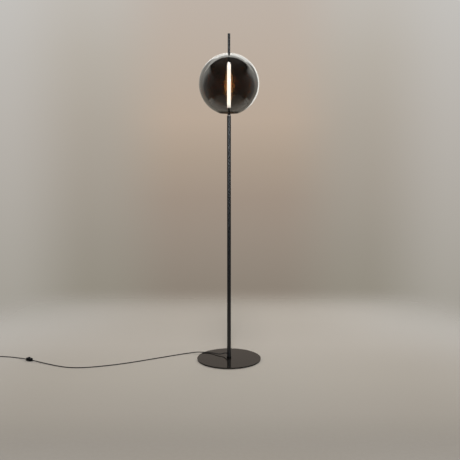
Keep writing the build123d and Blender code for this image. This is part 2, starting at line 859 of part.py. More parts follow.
def plug_pins():
    pieces = []
    for place in pin_places():
        tip_start = pin_length - pin_tip_length
        neck = rod(pin_neck_diameter, pin_root_length + tip_start, -pin_root_length)
        tip = rod(pin_diameter, pin_tip_length, tip_start)
        tip = fillet(ring_edges(tip, pin_length, pin_diameter / 2), pin_tip_radius)
        pieces.append(place * (neck + tip))
    return pieces


def plug_pin_sleeves():
    pieces = []
    for place in pin_places():
        pieces.append(place * tube(pin_sleeve_diameter, pin_neck_diameter + 2 * fit_gap,
                                   pin_length - pin_tip_length))
    return pieces


# --- All sub-parts -------------------------------------------------------
parts = {
    "base_pad": base_pad(),
    "base_plate": base_plate(),
    "base_screw": base_screw(),
    "pole_foot": pole_foot(),
    "pole_section_lower": pole_section(0),
    "pole_section_middle": pole_section(1),
    "pole_section_upper": pole_section(2),
    "pole_couplers": pole_couplers(),
    "pole_sockets": pole_sockets(),
    "top_insert": top_insert(),
    "outlet_relief": outlet_relief(),
    "feed_lead": feed_lead(),
    "driver_sleeve": driver_sleeve(),
    "driver_board": driver_board(),
    "output_wires": output_wires(),
    "spacer_ring": spacer_ring(),
    "lock_nut": round_nut(lock_nut_diameter, lock_nut_height, spacer_top),
    "core_tube": core_tube(),
    "tube_lower_cap": tube_lower_cap(),
    "tube_upper_cap": tube_upper_cap(),
    "heat_bar": heat_bar(),
    "light_strips": light_strips(),
    "light_tube": light_tube(),
    "hanger_nut": hanger_nut(),
    "globe_washer": globe_washer(),
    "glass_globe": glass_globe(),
    "finial_rod": finial_rod(),
    "switch_base": switch_base(),
    "switch_cover": switch_cover(),
    "switch_button": switch_button(),
    "switch_spring": switch_spring(),
    "switch_board": switch_board(),
    "switch_screws": switch_screws(),
    "switch_bushings": switch_bushings(),
    "switch_cores": switch_cores(),
    "cord_lamp_side": cord_tube("cord_lamp_side", lamp_side_points()),
    "cord_plug_side": cord_tube("cord_plug_side", plug_side_points()),
    "cord_coil": cord_coil(),
    "plug_relief": plug_relief(),
    "plug_body": plug_body(),
    "plug_pins": plug_pins(),
    "plug_pin_sleeves": plug_pin_sleeves(),
}

os.makedirs("parts", exist_ok=True)
for name, shape in parts.items():
    solids = shape if isinstance(shape, list) else [shape]
    bodies = [solid for piece in solids for solid in piece.solids()]
    export_step(Compound(children=bodies), f"parts/{name}.step")
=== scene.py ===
import math

import bmesh
import bpy
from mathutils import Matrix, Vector


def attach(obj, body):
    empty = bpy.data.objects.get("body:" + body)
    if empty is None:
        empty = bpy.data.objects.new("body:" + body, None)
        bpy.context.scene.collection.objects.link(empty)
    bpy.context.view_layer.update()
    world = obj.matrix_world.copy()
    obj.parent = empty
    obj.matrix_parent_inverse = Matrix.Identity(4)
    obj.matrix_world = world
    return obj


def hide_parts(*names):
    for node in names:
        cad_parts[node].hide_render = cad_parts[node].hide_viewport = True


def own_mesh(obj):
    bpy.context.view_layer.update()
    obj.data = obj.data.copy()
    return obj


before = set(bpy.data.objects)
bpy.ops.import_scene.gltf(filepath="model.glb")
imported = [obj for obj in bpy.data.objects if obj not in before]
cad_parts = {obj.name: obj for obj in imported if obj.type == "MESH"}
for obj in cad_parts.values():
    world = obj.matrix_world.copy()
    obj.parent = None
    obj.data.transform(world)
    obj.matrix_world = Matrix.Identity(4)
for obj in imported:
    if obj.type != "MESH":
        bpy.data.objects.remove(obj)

scene = bpy.context.scene
scene.view_settings.view_transform = "Standard"
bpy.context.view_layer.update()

# --- Sizes in metres, as in the part's source -----------------------------
CORD_RADIUS = 0.00225
PLATE_TOP = 0.0075
ON_PLATE = PLATE_TOP + CORD_RADIUS + 0.00015
GLOBE_RADIUS = 0.150
GLOBE_WALL = 0.003
GLOBE_CENTRE = 1.404967
GLOBE_MOUTH = 0.045
GLOBE_TOP_HOLE = 0.0185
GLOBE_LIP = 0.001
LIGHT_MIDDLE = 1.397
LIGHT_HALF = 0.1075
POLE_RADIUS = 0.010
OUTLET_HEIGHT = 0.021
OUTLET_DROP = math.radians(12)
OUTLET_AZIMUTH = math.radians(120)
OUTLET_RUN = 0.010
RELIEF_LENGTH = 0.022
SWITCH_CENTRE = Vector((-1.031, -0.027, 0.0052))
SWITCH_AZIMUTH = math.radians(151.4)
SWITCH_END = 0.026
SWITCH_RUN = 0.019
SPRING_RADIUS = 0.00255
SPRING_WIRE = 0.0005
SPRING_TURNS = 3


# --- Helpers -----------------------------------------------------------------
def new_piece(name, data):
    """Object of this mesh, curve, lamp or camera, linked to the scene."""
    piece = bpy.data.objects.new(name, data)
    scene.collection.objects.link(piece)
    return piece


def closed_piece(name, grid):
    """Object from a closed grid, with its faces turned outwards."""
    bmesh.ops.recalc_face_normals(grid, faces=grid.faces)
    mesh = bpy.data.meshes.new(name)
    grid.to_mesh(mesh)
    grid.free()
    return new_piece(name, mesh)


class Graph:
    """A few short calls that add and join shader nodes."""

    def __init__(self, tree):
        self.tree = tree

    def add(self, kind, **values):
        node = self.tree.nodes.new(kind)
        for name, value in values.items():
            setattr(node, name, value)
        return node

    def put(self, socket, value):
        if value is None:
            return
        if isinstance(value, bpy.types.NodeSocket):
            self.tree.links.new(value, socket)
        elif isinstance(value, tuple) and len(value) == 3 and socket.type == "RGBA":
            socket.default_value = (*value, 1)
        else:
            socket.default_value = value

    def math(self, operation, a, b=None):
        node = self.add("ShaderNodeMath", operation=operation)
        self.put(node.inputs[0], a)
        self.put(node.inputs[1], b)
        return node.outputs[0]

    def ramp(self, value, low, high, to_low=0.0, to_high=1.0, smooth=True):
        node = self.add("ShaderNodeMapRange")
        node.interpolation_type = "SMOOTHSTEP" if smooth else "LINEAR"
        for name, given in zip(("Value", "From Min", "From Max", "To Min", "To Max"),
                               (value, low, high, to_low, to_high)):
            self.put(node.inputs[name], given)
        return node.outputs[0]

    def mix(self, factor, a, b):
        node = self.add("ShaderNodeMix", data_type="RGBA")
        self.put(node.inputs["Factor"], factor)
        colours = [s for s in node.inputs if s.type == "RGBA"]
        self.put(colours[0], a)
        self.put(colours[1], b)
        return [s for s in node.outputs if s.type == "RGBA"][0]

    def stops(self, value, points):
        node = self.add("ShaderNodeValToRGB")
        self.put(node.inputs[0], value)
        elements = node.color_ramp.elements
        while len(elements) < len(points):
            elements.new(0.5)
        for element, (place, colour) in zip(elements, points):
            element.position = place
            element.color = (*colour, 1)
        return node.outputs[0]

    def place(self):
        return self.add("ShaderNodeTexCoord").outputs["Object"]

    def stretched(self, vector, scale):
        node = self.add("ShaderNodeMapping")
        self.put(node.inputs["Vector"], vector)
        node.inputs["Scale"].default_value = scale
        return node.outputs[0]

    def parts(self, vector):
        node = self.add("ShaderNodeSeparateXYZ")
        self.put(node.inputs[0], vector)
        return node.outputs

    def noise(self, vector, scale, detail=3.0, roughness=0.55):
        node = self.add("ShaderNodeTexNoise")
        self.put(node.inputs["Vector"], vector)
        node.inputs["Scale"].default_value = scale
        node.inputs["Detail"].default_value = detail
        node.inputs["Roughness"].default_value = roughness
        return node.outputs["Fac"]

    def bump(self, height, distance, strength=1.0):
        node = self.add("ShaderNodeBump")
        self.put(node.inputs["Height"], height)
        node.inputs["Distance"].default_value = distance
        node.inputs["Strength"].default_value = strength
        return node.outputs[0]


def surface(name, **fixed):
    """New material: its graph and its main shader, with the sockets that are the same all over."""
    material = bpy.data.materials.new(name)
    material.use_nodes = True
    graph = Graph(material.node_tree)
    shader = material.node_tree.nodes["Principled BSDF"]
    for socket, value in fixed.items():
        graph.put(shader.inputs[socket.replace("_", " ")], value)
    return material, graph, shader.inputs


def plain_finish(name, dark, light, rough, grain=900.0, depth=0.00002, cloud=14.0, **fixed):
    """Moulded or painted surface: cloudy colour, uneven gloss and a fine grain."""
    material, graph, inputs = surface(name, **fixed)
    place = graph.place()
    clouds = graph.noise(place, cloud, 4.0)
    fine = graph.noise(place, grain, 2.0)
    graph.put(inputs["Base Color"], graph.mix(graph.ramp(clouds, 0.3, 0.7), dark, light))
    graph.put(inputs["Roughness"], graph.ramp(clouds, 0.25, 0.75, rough[0], rough[1]))
    graph.put(inputs["Normal"], graph.bump(fine, depth))
    return material


def ringed_metal(name, dark, light, rough, pitch, depth, **fixed):
    """Turned metal: fine rings round the upright axis."""
    material, graph, inputs = surface(name, Metallic=1.0, **fixed)
    place = graph.place()
    height = graph.parts(place)["Z"]
    rings = graph.math("SINE", graph.math("MULTIPLY", height, 2 * math.pi / pitch))
    clouds = graph.noise(place, 60.0, 3.0)
    graph.put(inputs["Base Color"], graph.mix(clouds, dark, light))
    graph.put(inputs["Roughness"], graph.ramp(clouds, 0.2, 0.8, rough[0], rough[1]))
    graph.put(inputs["Normal"], graph.bump(rings, depth))
    return material


# --- Finishes ----------------------------------------------------------------
def plate_lacquer():
    """Black brown lacquer, glossy, with a faint orange peel and fine flecks."""
    material, graph, inputs = surface("plate_lacquer", IOR=1.26, Specular_Tint=(1.0, 0.90, 0.78))
    place = graph.place()
    flecks = graph.ramp(graph.noise(place, 2600.0, 1.0), 0.62, 0.74)
    clouds = graph.noise(place, 9.0, 4.0)
    base = graph.mix(clouds, (0.0035, 0.0024, 0.0014), (0.0060, 0.0042, 0.0026))
    graph.put(inputs["Base Color"], graph.mix(flecks, base, (0.05, 0.043, 0.036)))
    graph.put(inputs["Roughness"], graph.ramp(clouds, 0.2, 0.8, 0.10, 0.16))
    peel = graph.noise(place, 260.0, 2.0)
    graph.put(inputs["Normal"], graph.bump(peel, 0.00001))
    return material


def pole_lacquer():
    """Black lacquer on drawn tube: gloss with a slight upright drawing grain."""
    material, graph, inputs = surface("pole_lacquer", IOR=1.55)
    place = graph.place()
    drawn = graph.noise(graph.stretched(place, (1.0, 1.0, 0.01)), 500.0, 2.0)
    clouds = graph.noise(graph.stretched(place, (1.0, 1.0, 0.15)), 30.0, 3.0)
    graph.put(inputs["Base Color"], graph.mix(clouds, (0.0018, 0.0019, 0.0022), (0.0030, 0.0031, 0.0035)))
    graph.put(inputs["Roughness"], graph.ramp(clouds, 0.25, 0.75, 0.29, 0.34))
    graph.put(inputs["Normal"], graph.bump(drawn, 0.000002))
    return material


def threaded_steel():
    """Blackened lamp tube with a fine screw thread."""
    material, graph, inputs = surface("threaded_steel", Metallic=1.0)
    place = graph.place()
    x, y, z = graph.parts(place)[:3]
    turn = graph.math("DIVIDE", graph.math("ARCTAN2", y, x), 2 * math.pi)
    phase = graph.math("SUBTRACT", graph.math("MULTIPLY", z, 1000.0), turn)
    ridge = graph.math("ABSOLUTE", graph.math("SUBTRACT", graph.math("FRACT", phase), 0.5))
    clouds = graph.noise(place, 90.0, 3.0)
    dark = graph.mix(clouds, (0.008, 0.008, 0.009), (0.016, 0.016, 0.017))
    graph.put(inputs["Base Color"], graph.mix(graph.ramp(ridge, 0.38, 0.5), dark, (0.035, 0.035, 0.037)))
    graph.put(inputs["Roughness"], graph.ramp(clouds, 0.2, 0.8, 0.35, 0.5))
    graph.put(inputs["Normal"], graph.bump(ridge, 0.0004, 0.8))
    return material


def opal_tube():
    """Lit opal tube, a little dimmer towards its ends."""
    material, graph, inputs = surface(
        "opal_tube", Base_Color=(0.9, 0.89, 0.86), Roughness=0.35,
        Emission_Color=(1.0, 0.94, 0.84))
    height = graph.parts(graph.place())["Z"]
    from_middle = graph.math("ABSOLUTE", graph.math("SUBTRACT", height, LIGHT_MIDDLE))
    graph.put(inputs["Emission Strength"], graph.ramp(from_middle, LIGHT_HALF - 0.017, LIGHT_HALF, 8.0, 6.5))
    return material


def diode_strip():
    """White strip board with pale yellow diodes, lit."""
    material, graph, inputs = surface("diode_strip", Roughness=0.5)
    place = graph.place()
    x, y = graph.parts(place)[:2]
    out = graph.math("SQRT", graph.math("ADD", graph.math("MULTIPLY", x, x), graph.math("MULTIPLY", y, y)))
    diode = graph.ramp(out, 0.0059, 0.0061)
    grain = graph.noise(place, 1200.0)
    board = graph.mix(grain, (0.72, 0.72, 0.70), (0.82, 0.82, 0.80))
    graph.put(inputs["Base Color"], graph.mix(diode, board, (0.85, 0.68, 0.22)))
    graph.put(inputs["Emission Color"], (1.0, 0.80, 0.42))
    graph.put(inputs["Emission Strength"], graph.math("MULTIPLY", diode, 2.0))
    return material


def smoked_glass():
    """Smoked glass with a half mirrored skin: neutral and sharp outside, amber and softer inside."""
    material = bpy.data.materials.new("smoked_glass")
    material.use_nodes = True
    tree = material.node_tree
    tree.nodes.clear()
    graph = Graph(tree)
    place = graph.place()
    from_centre = graph.add("ShaderNodeVectorMath", operation="DISTANCE")
    graph.put(from_centre.inputs[0], place)
    from_centre.inputs[1].default_value = (0, 0, GLOBE_CENTRE)
    outside = graph.math("GREATER_THAN", from_centre.outputs["Value"], GLOBE_RADIUS - GLOBE_WALL / 2)
    clouds = graph.noise(place, 7.0, 2.0)
    facing = graph.add("ShaderNodeLayerWeight")
    facing.inputs["Blend"].default_value = 0.5
    slant = facing.outputs["Facing"]
    sheen = [(0.00, 0.006), (0.02, 0.012), (0.06, 0.040), (0.15, 0.044), (0.25, 0.065), (0.35, 0.13),
             (0.50, 0.205), (0.62, 0.265), (0.75, 0.37), (0.86, 0.52), (1.00, 1.0)]
    outer_mirror = graph.stops(slant, [(turned_away, (grey,) * 3) for turned_away, grey in sheen])
    height = graph.parts(place)["Z"]
    off_middle = graph.math("ABSOLUTE", graph.math("SUBTRACT", height, GLOBE_CENTRE))
    middle = graph.ramp(off_middle, 0.045, 0.100, 1.0, 0.0)
    # Painted shade: a band just above the mouth, where the outer sheen drops to 0.08 and the inner skin lets
    # little through.
    painted_mouth_shade = graph.ramp(height, GLOBE_CENTRE - 0.1410, GLOBE_CENTRE - 0.1335, 1.0, 0.0)
    outer_mirror = graph.mix(painted_mouth_shade, outer_mirror, (0.08,) * 3)
    from_behind = graph.add("ShaderNodeNewGeometry").outputs["Backfacing"]
    inner_mirror = graph.mix(from_behind, graph.mix(middle, (0.14,) * 3, (0.46,) * 3), (0.0,) * 3)
    mirror = graph.mix(outside, inner_mirror, outer_mirror)
    clear = graph.add("ShaderNodeBsdfTransparent")
    # Painted light and shade: the inner skin lets more through in the middle band round the lit tube than
    # above and below it, and less again towards the bottom.
    inner_tint = graph.mix(middle, (0.335, 0.33, 0.325), (0.535, 0.53, 0.52))
    inner_tint = graph.mix(from_behind, inner_tint, (0.289, 0.285, 0.280))
    inner_tint = graph.mix(graph.ramp(height, GLOBE_CENTRE - 0.135, GLOBE_CENTRE - 0.10, 1.0, 0.0),
                           inner_tint, (0.18, 0.178, 0.175))
    inner_tint = graph.mix(painted_mouth_shade, inner_tint, (0.10, 0.099, 0.097))
    outer_tint = graph.mix(clouds, (0.48, 0.475, 0.465), (0.515, 0.51, 0.50))
    graph.put(clear.inputs["Color"], graph.mix(outside, inner_tint, outer_tint))
    gloss = graph.add("ShaderNodeBsdfAnisotropic", distribution="BECKMANN")
    graph.put(gloss.inputs["Color"], graph.mix(outside, (1.0, 0.47, 0.13), (0.97, 0.97, 0.94)))
    graph.put(gloss.inputs["Roughness"], graph.ramp(outside, 0.0, 1.0, 0.21, 0.02, smooth=False))
    wave = graph.bump(graph.noise(place, 22.0, 1.0), 0.0002, 0.2)
    graph.put(gloss.inputs["Normal"], wave)
    mixed = graph.add("ShaderNodeMixShader")
    graph.put(mixed.inputs[0], mirror)
    graph.put(mixed.inputs[1], clear.outputs[0])
    graph.put(mixed.inputs[2], gloss.outputs[0])
    out = graph.add("ShaderNodeOutputMaterial")
    graph.put(out.inputs["Surface"], mixed.outputs[0])
    return material


def clear_plastic():
    """Clear washer: see-through straight on, bright at its edges."""
    material, graph, inputs = surface("clear_plastic", IOR=1.49, Transmission_Weight=1.0)
    clouds = graph.noise(graph.place(), 200.0)
    graph.put(inputs["Base Color"], graph.mix(clouds, (0.86, 0.87, 0.87), (0.93, 0.93, 0.92)))
    graph.put(inputs["Roughness"], graph.ramp(clouds, 0.2, 0.8, 0.06, 0.14))
    return material


def circuit_board():
    """Green board with tracks, pale parts stand on it."""
    material, graph, inputs = surface("circuit_board", Roughness=0.45)
    place = graph.place()
    brick = graph.add("ShaderNodeTexBrick")
    graph.put(brick.inputs["Vector"], graph.stretched(place, (120.0, 120.0, 120.0)))
    graph.put(brick.inputs["Color1"], (0.01, 0.09, 0.035))
    graph.put(brick.inputs["Color2"], (0.012, 0.12, 0.045))
    graph.put(brick.inputs["Mortar"], (0.03, 0.20, 0.07))
    brick.inputs["Mortar Size"].default_value = 0.03
    grain = graph.noise(place, 500.0)
    parts = graph.ramp(grain, 0.68, 0.72)
    graph.put(inputs["Base Color"], graph.mix(parts, brick.outputs["Color"], (0.55, 0.55, 0.52)))
    graph.put(inputs["Normal"], graph.bump(grain, 0.00004))
    return material


def two_colour_wire(name, first, second, direction):
    """Two cores in two colours, told apart by their side of the middle."""
    material, graph, inputs = surface(name, Roughness=0.38)
    place = graph.place()
    x, y = graph.parts(place)[:2]
    across = graph.math("ADD", graph.math("MULTIPLY", x, direction[0]),
                        graph.math("MULTIPLY", y, direction[1]))
    side = graph.math("GREATER_THAN", across, direction[2])
    grain = graph.noise(place, 1500.0)
    graph.put(inputs["Base Color"], graph.mix(side, first, second))
    graph.put(inputs["Normal"], graph.bump(grain, 0.00002))
    return material


def cord_sheath():
    """Black vinyl lead: low sheen, faint drag lines and specks of dust."""
    material, graph, inputs = surface("cord_sheath", IOR=1.25)
    place = graph.place()
    dust = graph.ramp(graph.noise(place, 700.0, 2.0), 0.66, 0.8)
    clouds = graph.noise(place, 25.0, 3.0)
    black = graph.mix(clouds, (0.0055, 0.0052, 0.0050), (0.0100, 0.0096, 0.0090))
    graph.put(inputs["Base Color"], graph.mix(dust, black, (0.030, 0.029, 0.027)))
    graph.put(inputs["Roughness"], graph.ramp(clouds, 0.25, 0.75, 0.36, 0.48))
    graph.put(inputs["Normal"], graph.bump(graph.noise(place, 1100.0, 2.0), 0.00003))
    return material


def hex_bar_metal():
    """Extruded aluminium with upright die lines."""
    material, graph, inputs = surface("hex_bar_metal", Metallic=1.0)
    lines = graph.noise(graph.stretched(graph.place(), (1.0, 1.0, 0.01)), 2500.0, 2.0)
    graph.put(inputs["Base Color"], graph.mix(lines, (0.52, 0.53, 0.54), (0.68, 0.68, 0.69)))
    graph.put(inputs["Roughness"], graph.ramp(lines, 0.2, 0.8, 0.25, 0.42))
    graph.put(inputs["Normal"], graph.bump(lines, 0.00003))
    return material


turned = ringed_metal("turned_steel", (0.45, 0.45, 0.46), (0.60, 0.60, 0.61), (0.22, 0.36), 0.0004, 0.00002)
zinc = ringed_metal("zinc_steel", (0.50, 0.50, 0.47), (0.66, 0.65, 0.60), (0.26, 0.40), 0.0005, 0.00003)
relief_rubber = plain_finish("relief_rubber", (0.010, 0.010, 0.010), (0.018, 0.018, 0.018),
                             (0.50, 0.64), 1400, 0.00004)
switch_shell = plain_finish("switch_shell", (0.0040, 0.0040, 0.0045), (0.0080, 0.0080, 0.0085),
                            (0.34, 0.46), 1800, 0.00003, 60, IOR=1.18)
board = circuit_board()
lead = cord_sheath()
pole_black = pole_lacquer()
black_nut = ringed_metal("black_nut", (0.010, 0.010, 0.011), (0.02, 0.02, 0.021), (0.30, 0.42),
                         0.0006, 0.00003)

finishes = {
    "base_pad": plain_finish("pad_rubber", (0.012, 0.012, 0.012), (0.022, 0.021, 0.020), (0.75, 0.88),
                             500, 0.0001),
    "base_plate": plate_lacquer(),
    "base_screw": zinc,
    "pole_foot": plain_finish("foot_lacquer", (0.0018, 0.0018, 0.0020), (0.0035, 0.0035, 0.0038),
                              (0.24, 0.32), 1200, 0.00001, IOR=1.2),
    "pole_section_lower": pole_black,
    "pole_section_middle": pole_black,
    "pole_section_upper": pole_black,
    "pole_couplers": turned,
    "pole_sockets": turned,
    "top_insert": turned,
    "outlet_relief": relief_rubber,
    "feed_lead": lead,
    "driver_sleeve": plain_finish("driver_sleeve", (0.30, 0.31, 0.32), (0.38, 0.39, 0.40), (0.30, 0.42),
                                  800, 0.00003),
    "driver_board": board,
    "output_wires": two_colour_wire("output_wires", (0.012, 0.012, 0.012), (0.35, 0.012, 0.010),
                                    (0.0, 1.0, 0.0)),
    "spacer_ring": plain_finish("spacer_nylon", (0.30, 0.285, 0.26), (0.36, 0.34, 0.31), (0.35, 0.48),
                                900, 0.00003, 80),
    "lock_nut": black_nut,
    "core_tube": threaded_steel(),
    "tube_lower_cap": plain_finish("cap_plastic", (0.012, 0.012, 0.012), (0.02, 0.02, 0.02), (0.35, 0.5),
                                   1500, 0.00002, 90),
    "heat_bar": hex_bar_metal(),
    "light_strips": diode_strip(),
    "light_tube": opal_tube(),
    "hanger_nut": black_nut,
    "globe_washer": clear_plastic(),
    "finial_rod": pole_black,
    "switch_base": switch_shell,
    "switch_cover": switch_shell,
    "switch_button": plain_finish("button_plastic", (0.010, 0.011, 0.013), (0.016, 0.017, 0.020),
                                  (0.28, 0.38), 1600, 0.00002, 90, IOR=1.25),
    "switch_spring": ringed_metal("spring_steel", (0.5, 0.5, 0.5), (0.62, 0.61, 0.6), (0.25, 0.35),
                                  0.0003, 0.00001),
    "switch_board": board,
    "switch_screws": zinc,
    "switch_bushings": relief_rubber,
    "switch_cores": two_colour_wire("switch_cores", (0.16, 0.06, 0.02), (0.02, 0.09, 0.30),
                                    (0.47869, 0.87798, -0.51724)),
    "plug_relief": relief_rubber,
    "plug_body": plain_finish("plug_plastic", (0.011, 0.011, 0.011), (0.019, 0.019, 0.019), (0.40, 0.55),
                              1300, 0.00005, 40),
    "plug_pins": plain_finish("pin_nickel", (0.62, 0.61, 0.58), (0.74, 0.73, 0.70), (0.16, 0.26),
                              900, 0.00001, 90, Metallic=1.0),
    "plug_pin_sleeves": plain_finish("pin_sleeve", (0.012, 0.012, 0.012), (0.02, 0.02, 0.02), (0.4, 0.5),
                                     1500, 0.00002, 90),
}
finishes["tube_upper_cap"] = finishes["tube_lower_cap"]
for node, material in finishes.items():
    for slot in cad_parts[node].material_slots:
        slot.material = material


# --- Globe -------------------------------------------------------------------
def arc(centre, radius, start, end, count):
    """Points of an arc in the half section's plane."""
    turns = [start + (end - start) * i / count for i in range(count + 1)]
    return [(centre[0] + radius * math.cos(turn), centre[1] + radius * math.sin(turn)) for turn in turns]


def globe_profile():
    """Half section of the blown glass, a closed loop of (radius, height)."""
    inner = GLOBE_RADIUS - GLOBE_WALL

    def angle_of(point):
        return math.atan2(point[1], point[0])

    def lip(hole, sign):
        """Rounded rim at a hole: from the outer skin over to the inner one."""
        x = hole + GLOBE_LIP
        points = []
        for radius, inwards in ((GLOBE_RADIUS - GLOBE_LIP, False), (inner + GLOBE_LIP, True)):
            centre = (x, sign * math.sqrt(radius ** 2 - x ** 2))
            out, to_axis = angle_of(centre), sign * math.pi
            sweep = (to_axis, out + sign * math.pi) if inwards else (out, to_axis)
            points += arc(centre, GLOBE_LIP, *sweep, 8)
        return points

    top = lip(GLOBE_TOP_HOLE, 1)
    mouth = lip(GLOBE_MOUTH, -1)
    outer_skin = arc((0, 0), GLOBE_RADIUS, angle_of(mouth[0]), angle_of(top[0]), 150)
    inner_skin = arc((0, 0), inner, angle_of(top[-1]), angle_of(mouth[-1]), 150)
    return outer_skin[:-1] + top[:-1] + inner_skin[:-1] + mouth[::-1][:-1]


def lathe(name, profile, height, segments):
    """Closed ring of the profile round the upright axis, smooth shaded."""
    grid = bmesh.new()
    rings = []
    for step in range(segments):
        turn = 2 * math.pi * step / segments
        rings.append([grid.verts.new((r * math.cos(turn), r * math.sin(turn), z + height))
                      for r, z in profile])
    count = len(profile)
    for step in range(segments):
        here, there = rings[step], rings[(step + 1) % segments]
        for i in range(count):
            j = (i + 1) % count
            face = grid.faces.new((here[i], there[i], there[j], here[j]))
            face.smooth = True
    return closed_piece(name, grid)


globe = lathe("blown_globe", globe_profile(), GLOBE_CENTRE, 240)
globe.data.materials.append(smoked_glass())
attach(globe, "lamp")
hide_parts("glass_globe")


# --- Spring under the switch button ----------------------------------------------
SPRING_START = 0.0046
SPRING_RISE = 0.0070


def wire_spring(name, foot, radius, wire, rise, turns):
    """Round wire on an upright axis, wound closer at both ends."""
    grid = bmesh.new()
    steps, around = 28 * turns, 10
    rings = []
    for step in range(steps + 1):
        way = step / steps
        turn = 2 * math.pi * turns * way
        level = rise * (way - 0.6 * math.sin(2 * math.pi * way) / (2 * math.pi))
        rings.append([grid.verts.new(foot + Vector((
            (radius + wire / 2 * math.cos(side)) * math.cos(turn),
            (radius + wire / 2 * math.cos(side)) * math.sin(turn),
            level + wire / 2 * math.sin(side))))
            for side in (2 * math.pi * k / around for k in range(around))])
    for here, there in zip(rings, rings[1:]):
        for k in range(around):
            face = grid.faces.new((here[k], there[k], there[(k + 1) % around], here[(k + 1) % around]))
            face.smooth = True
    grid.faces.new(rings[0])
    grid.faces.new(rings[-1][::-1])
    return closed_piece(name, grid)


spring = wire_spring("button_spring", Vector((*SWITCH_CENTRE.xy, SPRING_START)),
                     SPRING_RADIUS, SPRING_WIRE, SPRING_RISE, SPRING_TURNS)
spring.data.materials.append(finishes["switch_spring"])
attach(spring, "lamp")
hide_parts("switch_spring")
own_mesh(spring)


# --- Lead ----------------------------------------------------------------------
def smooth_lead(name, points):
    """Round lead on one smooth curve through its route."""
    data = bpy.data.curves.new(name, "CURVE")
    data.dimensions = "3D"
    spline = data.splines.new("NURBS")
    spline.points.add(len(points) - 1)
    for point, place in zip(spline.points, points):
        point.co = (*place, 1)
    spline.order_u = 3
    spline.use_endpoint_u = True
    data.resolution_u = 10
    data.bevel_depth = CORD_RADIUS
    data.bevel_resolution = 5
    data.use_fill_caps = True
    piece = new_piece(name, data)
    piece.data.materials.append(lead)
    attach(piece, "lamp")
    return piece


outlet = Vector((math.cos(OUTLET_DROP) * math.cos(OUTLET_AZIMUTH),
                 math.cos(OUTLET_DROP) * math.sin(OUTLET_AZIMUTH),
                 -math.sin(OUTLET_DROP)))
outlet_root = Vector((0, 0, PLATE_TOP + OUTLET_HEIGHT + POLE_RADIUS * math.tan(OUTLET_DROP)))
relief_tip = outlet_root + outlet * (POLE_RADIUS / math.cos(OUTLET_DROP) + RELIEF_LENGTH)
switch_way = Vector((math.cos(SWITCH_AZIMUTH), math.sin(SWITCH_AZIMUTH), 0))
switch_in = SWITCH_CENTRE - switch_way * SWITCH_END
switch_out = SWITCH_CENTRE + switch_way * SWITCH_END
FLOOR = CORD_RADIUS

to_switch = smooth_lead("lead_to_switch", [
    relief_tip,
    relief_tip + outlet * OUTLET_RUN,
    (-0.0315, 0.0420, ON_PLATE + 0.0070),
    (-0.0475, 0.0395, ON_PLATE + 0.0034),
    (-0.0660, 0.0510, ON_PLATE + 0.0029),
    (-0.0860, 0.0710, ON_PLATE + 0.0012),
    (-0.1140, 0.0815, ON_PLATE),
    (-0.1430, 0.0850, ON_PLATE + 0.0007),
    (-0.1730, 0.0905, ON_PLATE - 0.0006),
    (-0.2040, 0.0950, FLOOR + 0.0018),
    (-0.2440, 0.0815, FLOOR),
    (-0.2930, 0.0545, FLOOR),
    (-0.3430, 0.0260, FLOOR),
    (-0.3940, -0.0025, FLOOR),
    (-0.4460, -0.0330, FLOOR),
    (-0.4990, -0.0620, FLOOR),
    (-0.5520, -0.0875, FLOOR),
    (-0.6070, -0.1105, FLOOR),
    (-0.6630, -0.1295, FLOOR),
    (-0.7190, -0.1425, FLOOR),
    (-0.7730, -0.1460, FLOOR),
    (-0.8260, -0.1345, FLOOR),
    (-0.8760, -0.1105, FLOOR),
    (-0.9210, -0.0855, FLOOR),
    (-0.9590, -0.0650, FLOOR + 0.0010),
    switch_in - switch_way * SWITCH_RUN,
    switch_in,
])
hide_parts("cord_lamp_side")

COIL_CENTRE = Vector((-1.240, 0.0066, 0))
COIL_TURN = math.radians(85)
COIL_INNER, COIL_PITCH, COIL_HALF_TURNS = 0.0195, 0.005, 12
COIL_OUTER = COIL_INNER + COIL_HALF_TURNS / 4 * COIL_PITCH


def in_coil(x, y, z):
    """Point of the coil's own frame, moved to its place."""
    return COIL_CENTRE + Vector((x * math.cos(COIL_TURN) - y * math.sin(COIL_TURN),
                                 x * math.sin(COIL_TURN) + y * math.cos(COIL_TURN), z))


def coil_points(per_half=8):
    """Six turns: inwards on the floor, up at the middle, outwards on top."""
    points = []
    start = COIL_OUTER
    for number in range(COIL_HALF_TURNS):
        side = 1 if number % 2 == 0 else -1
        radius = COIL_INNER + abs(number - COIL_HALF_TURNS / 2) * COIL_PITCH / 2
        centre = start - side * radius
        step = math.pi / per_half
        reach = radius / math.cos(step / 2)
        for k in range(per_half):
            angle = (k + 0.5) * step
            x = centre + side * reach * math.cos(angle)
            climb = (1 - math.cos(angle) / math.cos(step / 2)) / 2
            if number < COIL_HALF_TURNS / 2:
                height = FLOOR
            elif number == COIL_HALF_TURNS / 2:
                height = FLOOR + COIL_PITCH * climb
            else:
                height = FLOOR + COIL_PITCH
            points.append(in_coil(x, side * reach * math.sin(angle), height))
        start = centre - side * radius
    return points


to_plug = smooth_lead("lead_to_plug", [
    switch_out,
    switch_out + switch_way * SWITCH_RUN,
    (-1.098, 0.011, FLOOR),
    (-1.143, 0.028, FLOOR),
    in_coil(COIL_OUTER, -0.0405, FLOOR),
    in_coil(COIL_OUTER, -0.0045, FLOOR),
    *coil_points(),
    in_coil(COIL_OUTER, 0.010, FLOOR + COIL_PITCH),
    in_coil(COIL_OUTER, 0.020, FLOOR + COIL_PITCH),
])
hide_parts("cord_plug_side", "cord_coil")


# --- Camera ----------------------------------------------------------------------
SENSOR_WIDTH = 36.0
PICTURE_WIDTH = 460.0
FOCAL_LENGTH = 640.0            # in the picture's pixels
CAMERA_TILT = 6.363             # degrees down

